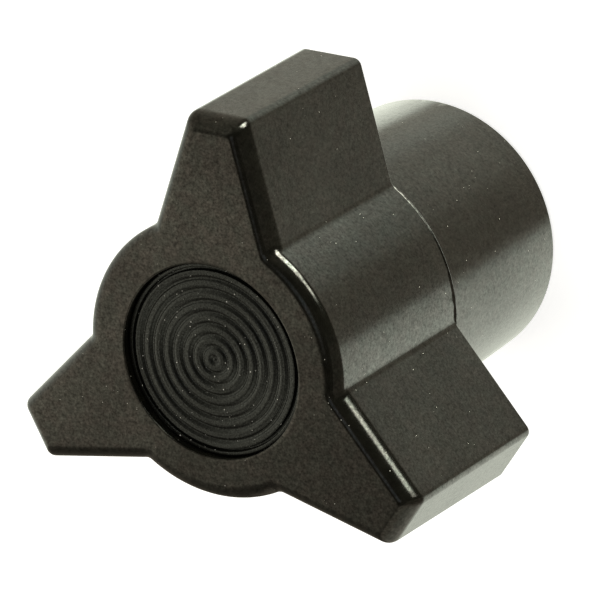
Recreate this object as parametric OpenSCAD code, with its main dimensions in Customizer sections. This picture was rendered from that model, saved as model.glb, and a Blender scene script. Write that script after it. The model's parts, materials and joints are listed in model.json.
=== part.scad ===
// Three-winged clamping nut: moulded grip body, pressed-in cover disc and moulded-in thread insert.
// The thread axis is +Z. The nut stands on the seating face of its insert, at z = 0, wings upwards.

/* [Wings] */
// Diameter of the circle through the wing tips, at the parting line
wing_circle_d = 63; // [56:1:80]
// Number of wings
wing_count = 3; // [2:1:4]
// Width of a wing at its tip
tip_w = 8.4; // [6:0.2:12]
// Width of a wing where it leaves the boss
root_w = 18.2; // [14:0.2:20]
// Depth of the wings along the axis
wing_depth = 27.5; // [18:0.5:36]
// Radius of the upright corners of a wing tip
tip_corner_r = 1.1; // [0.5:0.1:2]

/* [Hub] */
// Diameter of hub and boss at the parting line
hub_d = 36.8; // [34:0.2:42]
// Length of the hub from the seating face to the parting line
hub_len = 28; // [26:0.5:40]
// Height by which the insert stands proud of the plastic
seat_relief = 0.3; // [0.1:0.1:0.8]

/* [Moulding] */
// Draft of the hub below the parting line, in degrees
hub_draft = 1; // [0.5:0.1:2]
// Draft of the boss above the parting line, in degrees
boss_draft = 1.6; // [0.5:0.1:3]
// Draft of the wing flanks, in degrees
flank_draft = 1.4; // [0.5:0.1:3]
// Draft of the wing tip faces, in degrees
tip_draft = 2.2; // [0.5:0.1:3]
// Height of the undrafted land at the parting line
parting_land = 0.4; // [0.2:0.1:1]
// Width of the rounded edge round the front face, seen from the front
edge_run = 1.9; // [0.8:0.1:2.5]
// Depth of that edge on the boss
boss_edge = 1.6; // [0.8:0.1:3]
// Depth of that edge on the wing flanks
flank_edge = 2.5; // [0.8:0.1:4]
// Depth of that edge on the wing tips
tip_edge = 2.9; // [0.8:0.1:4]
// Radius of the edge at the free end of the hub
hub_edge_r = 0.4; // [0.2:0.1:1]

/* [Cover disc] */
// Diameter of the recess in the front face
recess_d = 24.6; // [20:0.2:28]
// Radial gap between the disc and the wall of the recess
disc_gap = 0.1; // [0.1:0.05:0.8]
// Depth of the disc's ring crests below the front face
disc_sink = 1; // [0.5:0.05:2]
// Thickness of the disc
disc_t = 2.2; // [1.5:0.1:3]
// Pitch of the turned rings
ring_pitch = 1.43; // [1:0.01:2]
// Height of the turned rings
ring_h = 0.2; // [0.1:0.02:0.5]
// Width of the plain rim outside the rings
rim_w = 0.45; // [0.3:0.05:1]
// Width of the groove between rim and rings
rim_groove_w = 0.5; // [0.2:0.05:0.8]
// Depth of that groove
rim_groove_depth = 0.6; // [0.3:0.05:1]
// Diameter of the press-fit spigot behind the disc
spigot_d = 8; // [6:0.5:12]
// Length of the spigot
spigot_len = 4; // [3:0.5:8]

/* [Thread insert] */
// Nominal diameter of the metric coarse thread
thread_d = 12; // [10:2:14]
// Pitch of the thread
thread_pitch = 1.75; // [1.5:0.25:2]
// Depth of the thread from the seating face
thread_len = 20; // [16:0.5:22]
// Depth of the lead-in at the mouth of the thread
lead_in = 0.45; // [0.2:0.05:0.5]
// Outside diameter of the insert
insert_d = 19; // [18:0.5:22]
// Length of the insert
insert_len = 24.5; // [24:0.5:26]
// Length of the plain collar at the seating face
collar_len = 2.5; // [1.5:0.5:4]
// Height of the collar's shoulder over the knurl
collar_step = 0.3; // [0.2:0.1:0.8]
// Width of the anchoring groove
groove_w = 4; // [2:0.5:6]
// Depth of the anchoring groove
groove_depth = 1.6; // [1:0.1:2]
// Number of teeth in the straight knurl
knurl_teeth = 36; // [24:2:48]
// Depth of the knurl
knurl_depth = 0.5; // [0.3:0.1:0.8]

/* [Hidden] */
$fn = 96;

plastic = [0.09, 0.085, 0.08];
disc_plastic = [0.06, 0.06, 0.06];
brass = [0.80, 0.62, 0.30];

eps = 0.01;
hub_r = hub_d / 2;
tip_r = wing_circle_d / 2;
face_z = hub_len + wing_depth;

// The flanks run straight from the tip to where they meet the boss.
root_y = sqrt(hub_r * hub_r - root_w * root_w / 4);
flank_lean = atan((root_w - tip_w) / 2 / (tip_r - root_y));
// Each wing is carried this far towards the axis, inside the boss.
wing_inner_y = root_y / 2;

disc_r = recess_d / 2 - disc_gap;
crest_z = face_z - disc_sink;
floor_z = crest_z - disc_t;
// The outermost ring's crest lies a sixth of a pitch inside the rim groove.
outer_crest_r = disc_r - rim_w - rim_groove_w - ring_pitch / 6;
ring_steps = 6;
disc_edge_r = 0.2;

bore_r = (thread_d - 1.0825 * thread_pitch) / 2;
mouth_r = bore_r + lead_in * tan(60);
drill_run_out = 2;
insert_r = insert_d / 2;
groove_z = collar_len + (insert_len - collar_len - groove_w) / 2;

// Half width of a wing at distance y from the axis, with its flanks moved in by side_in.
function half_width(y, side_in) = tip_w / 2 - side_in / cos(flank_lean) + (tip_r - y) * tan(flank_lean);

// Right-hand half of a wing's outline, from the tip corner's top to the inner end.
function wing_side(tip_in, side_in) =
    let (corner_y = tip_r - tip_in - tip_corner_r,
         corner_x = half_width(corner_y, side_in) - tip_corner_r / cos(flank_lean))
    concat(
        [for (a = [90 : -(90 - flank_lean) / 6 : flank_lean])
            [corner_x + tip_corner_r * cos(a), corner_y + tip_corner_r * sin(a)]],
        [[half_width(wing_inner_y, side_in), wing_inner_y]]);

function mirrored(side) = [for (i = [len(side) - 1 : -1 : 0]) [-side[i].x, side[i].y]];

// How far a side lies in, under the front face, where its rounded edge is this deep: a quarter ellipse.
function edge_in(under, depth) =
    edge_run * (1 - sqrt(1 - pow(max(depth - under, 0) / depth, 2)));

// Outline of a wing at height z above the parting line.
function wing_ring(z) =
    let (under = wing_depth - z,
         side = wing_side(z * tan(tip_draft) + edge_in(under, tip_edge),
                          z * tan(flank_draft) + edge_in(under, flank_edge)))
    [for (p = concat(side, mirrored(side))) [p.x, p.y, hub_len + z]];

// Solid through rings of points, each given clockwise as seen from above, from the lowest up.
module loft(rings) {
    n = len(rings[0]);
    last = (len(rings) - 1) * n;
    polyhedron(
        points = [for (ring = rings) each ring],
        faces = concat(
            [[for (i = [n - 1 : -1 : 0]) i]],
            [for (k = [0 : n : last - n], i = [0 : n - 1])
                [k + i, k + (i + 1) % n, k + n + (i + 1) % n, k + n + i]],
            [[for (i = [0 : n - 1]) last + i]]));
}

// One wing along +Y: straight drafted sides and a rounded front edge.
module wing() {
    loft(concat(
        [wing_ring(0)],
        [for (a = [0 : 15 : 90])
            wing_ring(wing_depth - tip_edge * (1 - sin(a)))]));
}

// Hub and boss, turned about the axis and widest at the parting line.
module core() {
    front_r = hub_r - wing_depth * tan(boss_draft);
    end_r = hub_r - hub_len * tan(hub_draft);
    rotate_extrude()
        polygon(concat(
            [[0, seat_relief]],
            [for (a = [-90 : 15 : 0])
                [end_r - hub_edge_r * (1 - cos(a)), seat_relief + hub_edge_r * (1 + sin(a))]],
            [[hub_r, hub_len - parting_land / 2], [hub_r, hub_len + parting_land / 2]],
            [for (a = [0 : 15 : 90])
                [front_r - edge_run * (1 - cos(a)), face_z - boss_edge * (1 - sin(a))]],
            [[0, face_z]]));
}

// Outside of the insert, which is also the shape of its seat in the plastic.
module insert_blank() {
    cylinder(r = insert_r, h = collar_len);
    knurled_band(collar_len, groove_z);
    translate([0, 0, groove_z - eps])
        cylinder(r = insert_r - groove_depth, h = groove_w + 2 * eps);
    knurled_band(groove_z + groove_w, insert_len);
}

module knurled_band(from_z, to_z) {
    step = 180 / knurl_teeth;
    translate([0, 0, from_z - eps])
        linear_extrude(to_z - from_z + eps)
            polygon([for (i = [0 : 2 * knurl_teeth - 1])
                let (r = insert_r - collar_step - (i % 2) * knurl_depth)
                [r * cos(i * step), r * sin(i * step)]]);
}

module grip_body() {
    color(plastic)
        difference() {
            union() {
                core();
                for (i = [0 : wing_count - 1])
                    rotate(i * 360 / wing_count)
                        wing();
            }
            translate([0, 0, floor_z])
                cylinder(r = recess_d / 2, h = disc_sink + disc_t + 1);
            translate([0, 0, floor_z - spigot_len])
                cylinder(r = spigot_d / 2, h = spigot_len + 1);
            insert_blank();
        }
}

// Height of the ringed surface at radius r: crests one pitch apart, counted in from the outermost.
function ring_z(r) = crest_z - ring_h / 2 * (1 - cos(360 * (outer_crest_r - r) / ring_pitch));

module cover_disc() {
    ring_r = disc_r - rim_w - rim_groove_w;
    ring_points = round(ring_r / ring_pitch * ring_steps);
    color(disc_plastic)
        rotate_extrude()
            polygon(concat(
                [[0, floor_z - spigot_len], [spigot_d / 2, floor_z - spigot_len],
                 [spigot_d / 2, floor_z], [disc_r, floor_z]],
                [for (a = [0 : 30 : 90])
                    [disc_r - disc_edge_r * (1 - cos(a)), crest_z - disc_edge_r * (1 - sin(a))]],
                [[disc_r - rim_w, crest_z],
                 [disc_r - rim_w - rim_groove_w / 3, crest_z - rim_groove_depth],
                 [disc_r - rim_w - rim_groove_w * 2 / 3, crest_z - rim_groove_depth]],
                [for (i = [0 : ring_points])
                    let (r = ring_r * (1 - i / ring_points))
                    [r, ring_z(r)]]));
}

module thread_insert() {
    color(brass)
        difference() {
            insert_blank();
            cylinder(r = bore_r, h = thread_len);
            translate([0, 0, thread_len - eps])
                cylinder(r1 = bore_r, r2 = 0, h = drill_run_out);
            translate([0, 0, -eps])
                cylinder(r1 = mouth_r, r2 = bore_r, h = lead_in + eps);
        }
}

grip_body();
cover_disc();
thread_insert();
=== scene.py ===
import json
import math

import bpy
from mathutils import Matrix, Vector, noise


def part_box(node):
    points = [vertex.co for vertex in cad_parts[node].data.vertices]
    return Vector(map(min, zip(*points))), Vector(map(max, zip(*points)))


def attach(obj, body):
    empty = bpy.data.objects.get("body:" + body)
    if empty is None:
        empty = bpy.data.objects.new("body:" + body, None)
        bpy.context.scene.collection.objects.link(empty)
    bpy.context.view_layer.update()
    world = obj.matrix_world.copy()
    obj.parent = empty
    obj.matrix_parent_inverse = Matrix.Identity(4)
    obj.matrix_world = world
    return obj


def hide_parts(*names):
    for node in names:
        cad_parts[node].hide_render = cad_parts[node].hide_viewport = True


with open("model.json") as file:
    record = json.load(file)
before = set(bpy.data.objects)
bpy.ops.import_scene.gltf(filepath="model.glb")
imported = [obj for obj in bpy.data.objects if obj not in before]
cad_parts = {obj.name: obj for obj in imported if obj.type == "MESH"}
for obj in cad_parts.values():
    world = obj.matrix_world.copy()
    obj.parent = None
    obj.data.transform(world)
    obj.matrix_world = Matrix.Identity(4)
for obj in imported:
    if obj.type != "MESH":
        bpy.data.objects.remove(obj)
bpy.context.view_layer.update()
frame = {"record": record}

# ---------------------------------------------------------------- sizes, in millimetres
MM = 0.001
TAU = 2 * math.pi


def box_mm(node):
    """A node's lowest and highest corners, in millimetres."""
    low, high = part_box(node)
    return [c / MM for c in low], [c / MM for c in high]


BODY_LOW, BODY_HIGH = box_mm("grip_body")
DISC_LOW, DISC_HIGH = box_mm("cover_disc")
INSERT_HIGH = box_mm("thread_insert")[1]
MOUNTS = {m["name"]: m for m in frame["record"]["mounts"]}

FACE_Z = BODY_HIGH[2]
SEAT_RELIEF = BODY_LOW[2]
TIP_R = BODY_HIGH[1]

# Moulded body: driving dimensions that the box doesn't give.
PARTING_Z = 28.0
HUB_R = 18.4
BOSS_R = 18.4
TIP_HALF_W = 4.2
ROOT_HALF_W = 9.1
TIP_CORNER_R = 1.1
ROOT_FILLET_R = 1.6
EDGE_RUN = 1.9
BOSS_EDGE = 1.6
FLANK_EDGE = 2.5
TIP_EDGE = 2.9
BACK_EDGE_R = 0.15
HUB_EDGE_R = 0.4
HUB_DRAFT = math.radians(1.0)
BOSS_DRAFT = math.radians(1.6)
FLANK_DRAFT = math.radians(1.4)
TIP_DRAFT = math.radians(2.2)
WINGS = 3

# Ragged flash that the mould left along the parting line, heaviest once in each gap between wings.
FLASH_H = 0.13
FLASH_FRONT_W = 0.38
FLASH_BACK_W = 0.20
FLASH_HEAVY_AT = math.radians(2)
FLASH_WAVES = ((1.9, 1.0), (4.3, 0.8))
FLASH_REACH_R = BOSS_R + 0.05

# Mesh density of the body: points round each feature and rings along its height.
CORNER_STEPS = 8
TIP_STEPS = 4
FLANK_STEPS = 12
BOSS_STEPS = 40
HUB_RINGS = 13
SIDE_RINGS = 12
EDGE_RINGS = 22

# Recess and disc.
RECESS_R = 12.3
RECESS_EDGE_R = 0.15
DISC_R = DISC_HIGH[0]
DISC_EDGE_R = 0.2
RING_PITCH = 1.43
RING_DOME_H = 0.09
RING_GROOVE_H = 0.15
RING_GROOVE_FLAT = 0.10
RING_GROOVE_WALL = 0.27
STEPS_PER_RING = 26
RIM_W = 0.45
RIM_EDGE_R = 0.12
RIM_GROOVE_W = 0.5
RIM_GROOVE_DEPTH = 0.6
RIM_GROOVE_CORNER = 0.08
DISC_T = 2.2
DISC_STEPS = 240
SPIGOT_R = 4.0

# Insert and thread.
INSERT_R = INSERT_HIGH[0]
INSERT_LEN = INSERT_HIGH[2]
THREAD_MINOR_R = MOUNTS["thread"]["dims"]["r_mm"]
THREAD_MAJOR_R = 6.0
THREAD_PITCH = 1.75
THREAD_LEN = 20.0
THREAD_FLAT = 0.16
THREAD_RUNOUT = 1.5
DRILL_POINT = 1.4
RINGS_PER_TURN = 16
LEAD_IN = 0.45
KNURL_TEETH = 36
STEPS_PER_TOOTH = 4
KNURL_DEPTH = 0.5
COLLAR_LEN = 2.5
COLLAR_STEP = 0.3
GROOVE_DEPTH = 1.6
GROOVE_W = 4.0

# ---------------------------------------------------------------- light levels
# Each belt gives the radiance of the surroundings by azimuth in degrees, and holds for a range of
# elevations. The pairs below say between which elevations one belt fades into the next.
LEVEL_TOP = 3.0
HUB_BELT = ((-180, 1.95), (-165, 1.6), (-117, 1.12), (-101, 1.38), (-85, 1.53), (-61, 1.68),
            (-37, 1.74), (-22, 1.68), (-15, 1.3), (-9, 0.6), (-3, 0.34), (12, 0.37), (28, 0.45),
            (40, 0.47), (52, 0.62), (68, 0.68), (84, 0.72), (100, 0.66), (108, 0.80), (118, 0.92),
            (132, 0.82), (140, 0.68), (146, 0.72), (151.5, 1.7), (158, 2.0), (180, 1.95))
LOW_BELT = ((-180, 1.8), (-165, 1.4), (-117, 1.05), (-101, 1.26), (-85, 1.5), (-61, 1.8),
            (-37, 2.2), (-28, 2.3), (-6, 1.85), (-3.2, 0.68), (4, 0.56), (20, 0.49), (28, 0.52),
            (36, 0.58), (42, 0.74), (50, 1.01), (60, 1.07), (68, 1.27), (80, 1.38), (105, 1.05),
            (128, 0.86), (138, 0.66), (147, 0.60), (151.5, 1.75), (158, 1.95), (180, 1.8))
LEVEL_BELT = ((-180, 0.95), (-165, 1.05), (-152, 1.2), (-144.5, 1.4), (-139, 0.42), (-125, 0.2),
              (-108, 0.12), (-95, 0.5), (-80, 0.75), (-60, 0.65), (-45, 0.5), (-30, 0.25),
              (5, 0.18), (15, 0.03), (40, 0.02), (60, 0.12), (85, 0.2), (110, 0.25), (135, 0.5),
              (160, 0.8), (180, 0.95))
HIGH_BELT = ((-180, 0.35), (-162, 0.5), (-150, 0.95), (-145.5, 1.15), (-140, 0.52), (-125, 0.40),
             (-95, 0.25), (-60, 0.2), (-40, 0.06), (60, 0.05), (110, 0.25), (130, 0.3), (180, 0.35))
NADIR = 1.9
CEILING = 0.05
ZENITH = 0.4
NADIR_TO_HUB = (-82, -70)
HUB_TO_LOW = (-56.5, -53.5)
LOW_TO_LEVEL = (-48.5, -41)
LEVEL_TO_HIGH = (49, 52.5)
HIGH_TO_CEILING = (54, 67)
CEILING_TO_ZENITH = (74, 84)

# Two small bright lamps: azimuth from and to, elevation from and to, softness, radiance.
LAMPS = ((56, 77, -25, 8, 5, 22.0), (41, 56, -17, 2, 5, 15.0))

# Tints of dark and bright surroundings, and of those above the horizon and overhead.
DIM_TINT = (1.13, 1.0, 0.785)
BRIGHT_TINT = (0.96, 1.0, 0.86)
DIM_TO_BRIGHT = (0.3, 1.0)
HIGH_TINT = (1.09, 1.0, 0.80)
HIGH_TINT_FROM = (0, 30)
ZENITH_TINT = (0.92, 1.0, 1.05)

# ---------------------------------------------------------------- floor and camera, in metres
FLOOR_Z = -0.02 * MM
FLOOR_FLAT_R = 2.0
FLOOR_BEND_R = 1.5
WALL_TOP = 4.0
FLOOR_STEPS = 96
FLOOR_GLOW = 0.95
FLOOR_LIGHT_WATTS = 12
FLOOR_LIGHT_SIZE = 1.6
FLOOR_LIGHT_HEIGHT = 1.8
CAMERA_AZIMUTH = 36.934
CAMERA_ELEVATION = 53.250
CAMERA_ROLL = -120.418
CAMERA_DISTANCE = 418.6 * MM
CAMERA_AIM = Vector((-1.09, 1.46, 34.0)) * MM
CAMERA_LENS = 205.36
CAMERA_SENSOR = 36


# ---------------------------------------------------------------- mesh helpers
def arc(centre, radius, start, end, steps):
    """Points on an arc, ends included; angles in radians."""
    return [(centre[0] + radius * math.cos(start + (end - start) * i / steps),
             centre[1] + radius * math.sin(start + (end - start) * i / steps))
            for i in range(steps + 1)]


def circle_ring(radius, z, angles):
    return [Vector((radius * math.cos(a), radius * math.sin(a), z)) for a in angles]


def ring_solid(name, rings):
    """Closed mesh through rings of equal point count; the first and last are closed by a fan."""
    count = len(rings[0])
    points = [p * MM for ring in rings for p in ring]
    faces = []
    for k in range(len(rings) - 1):
        low, high = k * count, (k + 1) * count
        for i in range(count):
            j = (i + 1) % count
            faces.append((low + i, low + j, high + j, high + i))
    for ring_index, flip in ((0, True), (len(rings) - 1, False)):
        centre = sum(rings[ring_index], Vector()) / count * MM
        points.append(centre)
        base, hub = ring_index * count, len(points) - 1
        for i in range(count):
            j = (i + 1) % count
            faces.append((base + j, base + i, hub) if flip else (base + i, base + j, hub))
    mesh = bpy.data.meshes.new(name)
    mesh.from_pydata(points, [], faces)
    mesh.validate()
    mesh.update()
    piece = bpy.data.objects.new(name, mesh)
    bpy.context.scene.collection.objects.link(piece)
    return piece


def smooth_with_edges(piece, angle_deg):
    """Smooth shading, but not across edges sharper than the angle; large faces lead the normals."""
    for polygon in piece.data.polygons:
        polygon.use_smooth = True
    piece.data.set_sharp_from_angle(angle=math.radians(angle_deg))
    weighted = piece.modifiers.new("normals", "WEIGHTED_NORMAL")
    weighted.keep_sharp = True
    weighted.weight = 60


# ---------------------------------------------------------------- moulded body
def half_sector(tip_in, flank_in, boss_in, corner_r):
    """Outline from the middle of the +Y wing's tip to the middle of the gap on its right."""
    tip_y = TIP_R - tip_in
    boss_r = BOSS_R - boss_in
    root_y = math.sqrt(BOSS_R ** 2 - ROOT_HALF_W ** 2)
    tip = Vector((TIP_HALF_W, TIP_R))
    along = (Vector((ROOT_HALF_W, root_y)) - tip).normalized()
    normal = Vector((-along.y, along.x))
    normal_angle = math.atan2(normal.y, normal.x)
    on_flank = tip - normal * flank_in

    inner = on_flank - normal * corner_r
    corner = inner + along * ((tip_y - corner_r - inner.y) / along.y)
    corner_points = arc(corner, corner_r, math.pi / 2, normal_angle, CORNER_STEPS)
    tip_points = [(corner.x * i / TIP_STEPS, tip_y) for i in range(TIP_STEPS)]

    shifted = on_flank + normal * ROOT_FILLET_R
    reach = shifted.dot(along)
    miss = shifted.dot(shifted) - (boss_r + ROOT_FILLET_R) ** 2
    fillet = shifted - along * (reach + math.sqrt(reach * reach - miss))
    touch_angle = math.atan2(fillet.y, fillet.x)
    fillet_points = arc(fillet, ROOT_FILLET_R, normal_angle + math.pi, touch_angle + math.pi,
                        CORNER_STEPS)

    start, end = Vector(corner_points[-1]), Vector(fillet_points[0])
    flank_points = [tuple(start.lerp(end, i / FLANK_STEPS)) for i in range(1, FLANK_STEPS)]
    mid_gap = math.pi / 2 - math.pi / WINGS
    boss_points = arc((0, 0), boss_r, touch_angle, mid_gap, BOSS_STEPS)[1:]
    return tip_points + corner_points + flank_points + fillet_points + boss_points


def edge_in(under, depth):
    """How far in a side lies, this far under the front face: its edge is a quarter ellipse."""
    return EDGE_RUN * (1 - math.sqrt(1 - (max(depth - under, 0) / depth) ** 2))


def flash(azimuth, rise):
    """Height of the ragged moulding flash, this far above the parting line."""
    where = Vector((math.cos(azimuth), math.sin(azimuth), 0)) * BOSS_R
    ragged = sum(share * noise.noise(where * per_mm) for per_mm, share in FLASH_WAVES)
    heavy = (0.5 + 0.5 * math.cos(WINGS * (azimuth - FLASH_HEAVY_AT))) ** 2
    breadth = 0.3 + heavy * (0.7 + 0.9 * ragged)
    front_w = FLASH_FRONT_W * max(0.2, breadth)
    share = 1 - abs(rise) / (front_w if rise > 0 else FLASH_BACK_W)
    return FLASH_H * max(0.0, share) * (0.6 + 0.4 * heavy + 0.25 * ragged)


def outline_ring(z, inset=0.0):
    """Outline of boss and wings at height z, with the wings' sides moved in by inset."""
    rise, under = z - PARTING_Z, FACE_Z - z
    tip_round = edge_in(under, TIP_EDGE)
    flank_round = edge_in(under, FLANK_EDGE)
    half = half_sector(rise * math.tan(TIP_DRAFT) + tip_round + inset,
                       rise * math.tan(FLANK_DRAFT) + flank_round + inset,
                       rise * math.tan(BOSS_DRAFT) + edge_in(under, BOSS_EDGE),
                       TIP_CORNER_R - (tip_round + flank_round) / 8)
    sector = half[::-1] + [(-x, y) for x, y in half[1:-1]]
    ring = []
    for k in range(WINGS):
        turn = Matrix.Rotation(TAU * k / WINGS, 3, "Z")
        ring += [turn @ Vector((x, y, z)) for x, y in sector]
    for point in ring:
        if math.hypot(point.x, point.y) < FLASH_REACH_R:
            point += point.xy.normalized().to_3d() * flash(math.atan2(point.y, point.x), rise)
    return ring


def moulded_body():
    top = outline_ring(FACE_Z)
    angles = [math.atan2(p.y, p.x) for p in top]

    def circle(radius, z):
        return circle_ring(radius, z, angles)

    def hub_with_flash(rise):
        ring = []
        for a in angles:
            radius = HUB_R + flash(a, rise)
            ring.append(Vector((radius * math.cos(a), radius * math.sin(a), PARTING_Z + rise)))
        return ring

    # Pocket for the insert, and the relieved end of the hub.
    end_r = HUB_R - PARTING_Z * math.tan(HUB_DRAFT)
    rings = [circle(INSERT_R * 0.5, INSERT_LEN), circle(INSERT_R, INSERT_LEN)]
    rings += [circle(INSERT_R, SEAT_RELIEF + 1), circle(INSERT_R, SEAT_RELIEF)]
    rings += [circle(r, SEAT_RELIEF)
              for r in (INSERT_R + 0.3, end_r - 2.5, end_r - HUB_EDGE_R - 0.2)]
    rings += [circle(end_r - HUB_EDGE_R + x, SEAT_RELIEF + HUB_EDGE_R + y)
              for x, y in arc((0, 0), HUB_EDGE_R, -math.pi / 2, 0, 6)]

    # Side of the hub, up to the flash at the parting line.
    hub_low = SEAT_RELIEF + HUB_EDGE_R
    for i in range(1, HUB_RINGS + 1):
        z = hub_low + (PARTING_Z - hub_low) * i / HUB_RINGS
        if z < PARTING_Z - 2 * FLASH_BACK_W:
            rings.append(circle(HUB_R - (PARTING_Z - z) * math.tan(HUB_DRAFT), z))
    rings += [hub_with_flash(-FLASH_BACK_W * drop) for drop in (1.3, 1.0, 0.97, 0.5, 0.1)]

    # Back edge and sides of boss and wings, and the rounded edge round the front face.
    rings += [outline_ring(PARTING_Z + BACK_EDGE_R + y, BACK_EDGE_R - x)
              for x, y in arc((0, 0), BACK_EDGE_R, -math.pi / 2, 0, 4)]
    side_low, side_high = PARTING_Z + BACK_EDGE_R, FACE_Z - TIP_EDGE
    rings += [outline_ring(side_low + FLASH_FRONT_W * share)
              for share in (0.15, 0.3, 0.5, 0.75, 1.0)]
    rings += [outline_ring(side_low + (side_high - side_low) * i / SIDE_RINGS)
              for i in range(1, SIDE_RINGS)]
    rings += [outline_ring(side_high + TIP_EDGE * math.sin(math.pi / 2 * i / EDGE_RINGS))
              for i in range(EDGE_RINGS + 1)]

    # Front face, and the recess for the disc and its spigot.
    face_rim = circle(RECESS_R + RECESS_EDGE_R, FACE_Z)
    for share in (0.03, 0.25, 0.5, 0.75, 0.97):
        rings.append([p.lerp(q, share) for p, q in zip(top, face_rim)])
    rings += [circle(RECESS_R + RECESS_EDGE_R - x, FACE_Z - RECESS_EDGE_R + y)
              for x, y in arc((0, 0), RECESS_EDGE_R, math.pi / 2, 0, 5)]
    floor_z = DISC_HIGH[2] - DISC_T
    rings += [circle(RECESS_R, z) for z in (FACE_Z - 0.5, FACE_Z - 1.5, floor_z)]
    rings += [circle(SPIGOT_R, floor_z), circle(SPIGOT_R, DISC_LOW[2])]
    rings += [circle(SPIGOT_R * 0.5, DISC_LOW[2])]
    body = ring_solid("moulded_body", rings)
    smooth_with_edges(body, 40)
    return body


# ---------------------------------------------------------------- ringed disc
def ring_height(radius):
    """Height of the turned rings: domed lands, one pitch apart, with rounded grooves between."""
    outer_crest_r = DISC_R - RIM_W - RIM_GROOVE_W - RING_PITCH / 6
    off_groove = abs((outer_crest_r - radius) / RING_PITCH % 1.0 - 0.5) * RING_PITCH
    off_crest = RING_PITCH / 2 - off_groove
    from_flat = max(0.0, off_groove - RING_GROOVE_FLAT)
    into_groove = max(0.0, 1 - from_flat / RING_GROOVE_WALL)
    groove = into_groove ** 2 * (3 - 2 * into_groove)
    dome = (2 * off_crest / RING_PITCH) ** 2
    return DISC_HIGH[2] - RING_DOME_H * dome - RING_GROOVE_H * groove


def ringed_disc():
    angles = [TAU * i / DISC_STEPS for i in range(DISC_STEPS)]
    crest = DISC_HIGH[2]
    back = crest - DISC_T
    rim_r = DISC_R - DISC_EDGE_R
    groove_out = DISC_R - RIM_W
    groove_in = groove_out - RIM_GROOVE_W
    groove_floor = crest - RIM_GROOVE_DEPTH
    groove_foot = groove_floor + RIM_GROOVE_CORNER
    profile = [(SPIGOT_R * 0.5, DISC_LOW[2]), (SPIGOT_R, DISC_LOW[2])]
    profile += [(SPIGOT_R, back), (DISC_R, back)]
    profile += [(rim_r + x, crest - DISC_EDGE_R + y)
                for x, y in arc((0, 0), DISC_EDGE_R, 0, math.pi / 2, 6)]
    profile += [(groove_out + x, crest - RIM_EDGE_R + y)
                for x, y in arc((0.05, 0), RIM_EDGE_R, math.pi / 2, math.pi, 4)]
    profile += [(groove_out - 0.12, groove_foot), (groove_out - 0.18, groove_floor)]
    profile += [(groove_in + 0.12, groove_floor), (groove_in + 0.05, groove_foot)]
    steps = round(groove_in / RING_PITCH * STEPS_PER_RING)
    for i in range(steps):
        radius = groove_in * (1 - i / steps)
        profile.append((radius, ring_height(radius)))
    disc = ring_solid("ringed_disc", [circle_ring(r, z, angles) for r, z in profile])
    smooth_with_edges(disc, 50)
    return disc


# ---------------------------------------------------------------- threaded insert
def thread_radius(angle, z):
    """Wall of the thread: a 60 degree V with a flat root and crest, one pitch per turn."""
    if z >= THREAD_LEN - THREAD_RUNOUT:
        return THREAD_MINOR_R
    phase = (z / THREAD_PITCH - angle / TAU) % 1.0
    slope = (1 - 2 * THREAD_FLAT) / 2
    if phase < THREAD_FLAT:
        share = 1.0
    elif phase < THREAD_FLAT + slope:
        share = 1 - (phase - THREAD_FLAT) / slope
    elif phase < 2 * THREAD_FLAT + slope:
        share = 0.0
    else:
        share = (phase - 2 * THREAD_FLAT - slope) / slope
    return THREAD_MINOR_R + (THREAD_MAJOR_R - THREAD_MINOR_R) * share


def threaded_insert():
    count = KNURL_TEETH * STEPS_PER_TOOTH
    angles = [TAU * i / count for i in range(count)]

    def circle(radius, z):
        return circle_ring(radius, z, angles)

    def threaded(z):
        ring = []
        for a in angles:
            radius = thread_radius(a, z)
            ring.append(Vector((radius * math.cos(a), radius * math.sin(a), z)))
        return ring

    def knurl(z):
        ring = []
        for i, a in enumerate(angles):
            share = abs((i % STEPS_PER_TOOTH) / STEPS_PER_TOOTH * 2 - 1)
            r = INSERT_R - COLLAR_STEP - KNURL_DEPTH * (1 - share)
            ring.append(Vector((r * math.cos(a), r * math.sin(a), z)))
        return ring

    groove_low = COLLAR_LEN + (INSERT_LEN - COLLAR_LEN - GROOVE_W) / 2
    groove_high = groove_low + GROOVE_W
    groove_r = INSERT_R - GROOVE_DEPTH
    knurl_root_r = INSERT_R - COLLAR_STEP - KNURL_DEPTH
    mouth_r = THREAD_MINOR_R + LEAD_IN * math.tan(math.radians(60))

    # Bore, from the drill point out to the lead-in.
    rings = [circle(THREAD_MINOR_R * 0.3, THREAD_LEN + DRILL_POINT)]
    rings += [circle(THREAD_MINOR_R, THREAD_LEN)]
    levels = round(THREAD_LEN / THREAD_PITCH * RINGS_PER_TURN)
    rings += [threaded(LEAD_IN + (THREAD_LEN - LEAD_IN) * k / levels - 0.01)
              for k in range(levels, 0, -1)]
    rings += [circle(THREAD_MAJOR_R - 0.1, LEAD_IN)]

    # Seating face, collar and knurled outside with its anchoring groove.
    rings += [circle(mouth_r, 0.0), circle(mouth_r + 0.3, 0.0)]
    rings += [circle(INSERT_R - 0.35, 0.0), circle(INSERT_R - 0.2, 0.0)]
    rings += [circle(INSERT_R - 0.06, 0.06), circle(INSERT_R, 0.2), circle(INSERT_R, COLLAR_LEN)]
    rings += [circle(knurl_root_r, COLLAR_LEN), knurl(COLLAR_LEN), knurl(groove_low)]
    rings += [circle(groove_r, groove_low), circle(groove_r, groove_high)]
    rings += [knurl(groove_high), knurl(INSERT_LEN - 0.3), circle(knurl_root_r, INSERT_LEN)]
    rings += [circle(INSERT_R * 0.5, INSERT_LEN)]
    insert = ring_solid("threaded_insert", rings)
    smooth_with_edges(insert, 30)
    return insert


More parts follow.
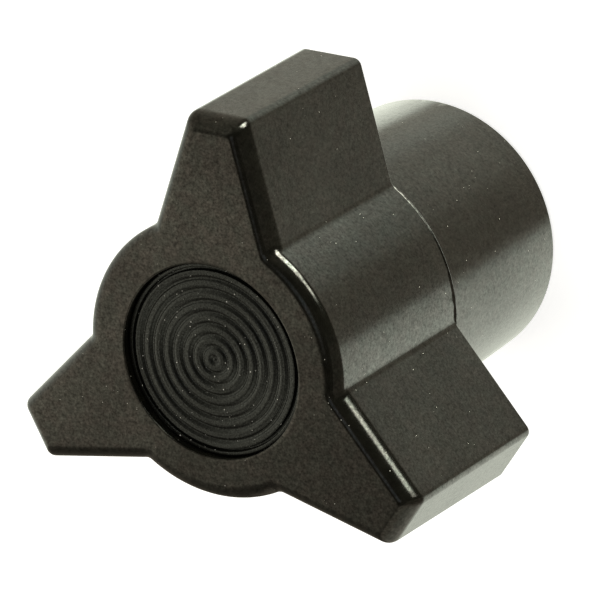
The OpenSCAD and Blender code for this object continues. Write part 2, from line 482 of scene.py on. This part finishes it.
# ---------------------------------------------------------------- node helpers
class Nodes:
    """Short calls that add nodes to a tree and give back the socket to use next."""

    def __init__(self, tree):
        self.tree = tree

    def add(self, kind, inputs=(), **settings):
        """Add a node and feed its sockets in order: link a socket, set a value, skip a None."""
        node = self.tree.nodes.new(kind)
        for name, value in settings.items():
            setattr(node, name, value)
        for socket, value in zip(node.inputs, inputs):
            self.feed(socket, value)
        return node

    def feed(self, socket, value):
        if isinstance(value, bpy.types.NodeSocket):
            self.tree.links.new(value, socket)
        elif value is not None:
            socket.default_value = (*value, 1) if isinstance(value, tuple) else value

    def math(self, operation, *inputs):
        return self.add("ShaderNodeMath", inputs, operation=operation).outputs[0]

    def remap(self, value, from_low, from_high, to_low=0.0, to_high=1.0, kind="LINEAR"):
        node = self.add("ShaderNodeMapRange", (value, from_low, from_high, to_low, to_high))
        node.interpolation_type = kind
        return node.outputs[0]

    def mix(self, factor, first, second):
        node = self.add("ShaderNodeMix", data_type="RGBA")
        for index, value in ((0, factor), (6, first), (7, second)):
            self.feed(node.inputs[index], value)
        return node.outputs[2]

    def ramp(self, value, stops):
        """Piecewise-linear grey curve through (position, level) stops, positions 0 to 1."""
        node = self.add("ShaderNodeValToRGB", (value,))
        elements = node.color_ramp.elements
        for element, (position, level) in zip(elements, (stops[0], stops[-1])):
            element.position = position
            element.color = (level, level, level, 1)
        for position, level in stops[1:-1]:
            elements.new(position).color = (level, level, level, 1)
        return node.outputs[0]


class Surface(Nodes):
    """A node material built round one Principled shader."""

    def __init__(self, name):
        self.material = bpy.data.materials.new(name)
        self.material.use_nodes = True
        super().__init__(self.material.node_tree)
        self.shader = self.tree.nodes["Principled BSDF"]
        self.place = self.add("ShaderNodeTexCoord").outputs["Object"]

    def noise(self, per_mm, detail=2.0, rough=0.5):
        node = self.add("ShaderNodeTexNoise", (self.place, None, per_mm / MM, detail, rough))
        return node.outputs["Fac"]

    def spots(self, per_mm, radius):
        """Small round dots, one per cell: 1 inside a dot of the given radius in cell units."""
        node = self.add("ShaderNodeTexVoronoi", (self.place, None, per_mm / MM))
        return self.remap(node.outputs["Distance"], radius, radius * 0.5)

    def bump(self, height, strength, depth_mm, after=None):
        node = self.add("ShaderNodeBump")
        self.feed(node.inputs["Strength"], strength)
        self.feed(node.inputs["Distance"], depth_mm * MM)
        self.feed(node.inputs["Height"], height)
        self.feed(node.inputs["Normal"], after)
        return node.outputs["Normal"]

    def specks(self, per_mm, radius, patches, low, high):
        """Spots that show only where a slow noise of this many patches per millimetre is high."""
        thickly = self.remap(self.noise(patches, 1), low, high)
        return self.math("MULTIPLY", self.spots(per_mm, radius), thickly)

    def turned(self, per_mm, *wave):
        """Concentric turning marks round the thread's axis."""
        node = self.add("ShaderNodeTexWave", (self.place, per_mm / MM, *wave),
                        wave_type="RINGS", rings_direction="Z")
        return node.outputs["Fac"]

    def set(self, **inputs):
        for name, value in inputs.items():
            self.feed(self.shader.inputs[name.replace("_", " ")], value)


# ---------------------------------------------------------------- materials
def phenolic():
    """Warm black moulded plastic: fine grain in the gloss, clouds, and a few pale filler specks."""
    s = Surface("moulded_phenolic")
    mottle = s.noise(0.45, 3)
    cloud = s.noise(1.6, 2)
    patch = s.noise(0.09, 3)
    grain = s.noise(3.4, 2, 0.7)
    specks = s.specks(1.1, 0.075, 0.35, 0.56, 0.62)
    base = s.mix(s.remap(mottle, 0.35, 0.65), (0.0030, 0.0029, 0.0022), (0.0052, 0.0049, 0.0036))
    base = s.mix(specks, base, (0.55, 0.53, 0.48))
    gloss = s.remap(grain, 0.25, 0.75, 0.18, 0.82)
    gloss = s.math("MULTIPLY", gloss, s.remap(cloud, 0.25, 0.75, 0.66, 1.34))
    gloss = s.math("MULTIPLY", gloss, s.remap(patch, 0.25, 0.75, 0.78, 1.22))
    warmth = s.remap(s.noise(0.55, 2), 0.4, 0.6)
    tint = s.mix(warmth, (1.0, 0.955, 0.90), (0.965, 1.0, 0.93))
    rough = s.remap(s.noise(0.9, 3), 0.3, 0.7, 0.13, 0.18)
    wave = s.bump(s.noise(0.16, 2), 0.35, 0.03)
    fine = s.bump(grain, 0.12, 0.012, wave)
    s.set(Base_Color=base, Roughness=rough, Normal=fine, IOR=1.5)
    s.set(Specular_IOR_Level=gloss, Specular_Tint=tint)
    return s.material


def turned_plastic():
    """The disc's duller, rougher black plastic, with turning marks finer than its rings."""
    s = Surface("turned_disc_plastic")
    mottle = s.noise(0.8, 3)
    grain = s.noise(4.5, 3, 0.7)
    specks = s.specks(1.3, 0.11, 0.45, 0.46, 0.54)
    base = s.mix(s.remap(mottle, 0.3, 0.7), (0.0030, 0.0029, 0.0024), (0.0052, 0.0050, 0.0040))
    base = s.mix(specks, base, (0.80, 0.78, 0.72))
    gloss = s.remap(grain, 0.28, 0.72, 0.14, 0.90)
    rough = s.remap(grain, 0.3, 0.7, 0.21, 0.29)
    marks = s.bump(s.turned(0.55, 1.2, 2.0, 0.5), 0.5, 0.022)
    fine = s.bump(grain, 0.5, 0.055, marks)
    s.set(Base_Color=base, Roughness=rough, Normal=fine, IOR=1.5)
    s.set(Specular_IOR_Level=gloss, Specular_Tint=(0.90, 1.0, 1.0))
    return s.material


def turned_brass():
    """Bright turned brass with darker clouds."""
    s = Surface("turned_brass")
    tarnish = s.remap(s.noise(0.35, 4), 0.35, 0.7)
    base = s.mix(tarnish, (0.62, 0.44, 0.17), (0.42, 0.28, 0.11))
    rough = s.remap(s.noise(1.2, 3), 0.3, 0.7, 0.22, 0.36)
    marks = s.bump(s.turned(1.2, 0.6), 0.25, 0.02)
    s.set(Base_Color=base, Metallic=1.0, Roughness=rough, Normal=marks)
    return s.material


def pale_floor():
    s = Surface("pale_floor")
    clouds = s.remap(s.noise(0.004, 2), 0.3, 0.7)
    tone = s.mix(clouds, (0.80, 0.80, 0.80), (0.82, 0.82, 0.82))
    s.set(Base_Color=tone, Roughness=0.6, Specular_IOR_Level=0.0)
    s.set(Emission_Color=tone, Emission_Strength=FLOOR_GLOW)
    return s.material


# ---------------------------------------------------------------- building the object
def finish_piece(piece, node, material):
    piece.data.materials.append(material)
    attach(piece, "root")
    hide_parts(node)


finish_piece(moulded_body(), "grip_body", phenolic())
finish_piece(ringed_disc(), "cover_disc", turned_plastic())
finish_piece(threaded_insert(), "thread_insert", turned_brass())


# ---------------------------------------------------------------- floor, camera and lights
def toward(azimuth_deg, elevation_deg):
    """Unit vector from the object towards a place: azimuth from +X, elevation from the floor."""
    a, e = math.radians(azimuth_deg), math.radians(elevation_deg)
    return Vector((math.cos(e) * math.cos(a), math.cos(e) * math.sin(a), math.sin(e)))


def aimed(direction_back, roll_deg=0.0):
    """Rotation of a camera or light whose back points along direction_back."""
    rotation = direction_back.to_track_quat("Z", "Y").to_matrix()
    return rotation @ Matrix.Rotation(math.radians(roll_deg), 3, "Z")


def add_floor():
    """Seamless pale floor that curves up into a wall, and that nothing mirrors."""
    count = FLOOR_STEPS
    angles = [TAU * i / count for i in range(count)]
    bend = (FLOOR_FLAT_R, FLOOR_BEND_R + FLOOR_Z)
    profile = [(r, FLOOR_Z) for r in (0.02, 0.3, 1.0)]
    profile += arc(bend, FLOOR_BEND_R, -math.pi / 2, 0, 16)
    profile += [(FLOOR_FLAT_R + FLOOR_BEND_R, WALL_TOP)]
    points, faces = [(0, 0, FLOOR_Z)], []
    for r, z in profile:
        points += [(r * math.cos(a), r * math.sin(a), z) for a in angles]
    for i in range(count):
        j = (i + 1) % count
        faces.append((0, 1 + i, 1 + j))
        for k in range(len(profile) - 1):
            low, high = 1 + k * count, 1 + (k + 1) * count
            faces.append((low + i, high + i, high + j, low + j))
    mesh = bpy.data.meshes.new("floor")
    mesh.from_pydata(points, [], faces)
    mesh.shade_smooth()
    mesh.materials.append(pale_floor())
    floor = bpy.data.objects.new("floor", mesh)
    bpy.context.scene.collection.objects.link(floor)
    floor.visible_glossy = False
    floor.visible_diffuse = False
    floor.visible_shadow = False


def add_camera():
    data = bpy.data.cameras.new("camera")
    data.lens = CAMERA_LENS
    data.sensor_width = CAMERA_SENSOR
    data.clip_start = 0.01
    camera = bpy.data.objects.new("camera", data)
    bpy.context.scene.collection.objects.link(camera)
    back = toward(CAMERA_AZIMUTH, CAMERA_ELEVATION)
    place = Matrix.Translation(CAMERA_AIM + back * CAMERA_DISTANCE)
    camera.matrix_world = place @ aimed(back, CAMERA_ROLL).to_4x4()
    bpy.context.scene.camera = camera


def floor_light():
    """Wide soft light straight above, which doesn't show in the gloss of the object."""
    data = bpy.data.lights.new("floor_light", "AREA")
    data.shape = "DISK"
    data.size = FLOOR_LIGHT_SIZE
    data.energy = FLOOR_LIGHT_WATTS
    light = bpy.data.objects.new("floor_light", data)
    light.location = (0, 0, FLOOR_LIGHT_HEIGHT)
    light.visible_glossy = False
    bpy.context.scene.collection.objects.link(light)


def surroundings():
    """Soft reflector cards as a world, by direction only: belts, nadir, ceiling and two lamps."""
    world = bpy.data.worlds.new("studio")
    world.use_nodes = True
    bpy.context.scene.world = world
    n = Nodes(world.node_tree)
    direction = n.add("ShaderNodeTexCoord").outputs["Generated"]
    axis = n.add("ShaderNodeSeparateXYZ", (direction,)).outputs
    turn = n.remap(n.math("ARCTAN2", axis["Y"], axis["X"]), -math.pi, math.pi)
    azimuth = n.remap(turn, 0, 1, -180, 180)
    elevation = n.math("MULTIPLY", n.math("ARCSINE", axis["Z"]), math.degrees(1))

    def belt(levels):
        """Levels by azimuth as a ramp, scaled by LEVEL_TOP so that they fit in a colour."""
        return n.ramp(turn, [(at / 360 + 0.5, level / LEVEL_TOP) for at, level in levels])

    def grey(level):
        return (level / LEVEL_TOP,) * 3

    def above(elevations):
        return n.remap(elevation, *elevations, 0, 1, "SMOOTHSTEP")

    def between(value, low, high, soft):
        rise = n.remap(value, low - soft, low + soft, 0, 1, "SMOOTHSTEP")
        fall = n.remap(value, high - soft, high + soft, 1, 0, "SMOOTHSTEP")
        return n.math("MULTIPLY", rise, fall)

    overhead = above(CEILING_TO_ZENITH)
    belts = n.mix(above(NADIR_TO_HUB), grey(NADIR), belt(HUB_BELT))
    belts = n.mix(above(HUB_TO_LOW), belts, belt(LOW_BELT))
    belts = n.mix(above(LOW_TO_LEVEL), belts, belt(LEVEL_BELT))
    belts = n.mix(above(LEVEL_TO_HIGH), belts, belt(HIGH_BELT))
    belts = n.mix(above(HIGH_TO_CEILING), belts, grey(CEILING))
    belts = n.mix(overhead, belts, grey(ZENITH))
    total = n.math("MULTIPLY", belts, LEVEL_TOP)
    for low_az, high_az, low_el, high_el, soft, radiance in LAMPS:
        across = between(azimuth, low_az, high_az, soft)
        upright = between(elevation, low_el, high_el, soft)
        lamp = n.math("MULTIPLY", across, upright)
        total = n.math("MULTIPLY_ADD", lamp, radiance, total)

    tint = n.mix(n.remap(total, *DIM_TO_BRIGHT), DIM_TINT, BRIGHT_TINT)
    tint = n.mix(n.remap(elevation, *HIGH_TINT_FROM), tint, HIGH_TINT)
    tint = n.mix(overhead, tint, ZENITH_TINT)
    background = world.node_tree.nodes["Background"]
    n.feed(background.inputs["Color"], tint)
    n.feed(background.inputs["Strength"], total)


add_floor()
add_camera()
floor_light()
surroundings()
bpy.context.scene.view_settings.view_transform = "Standard"
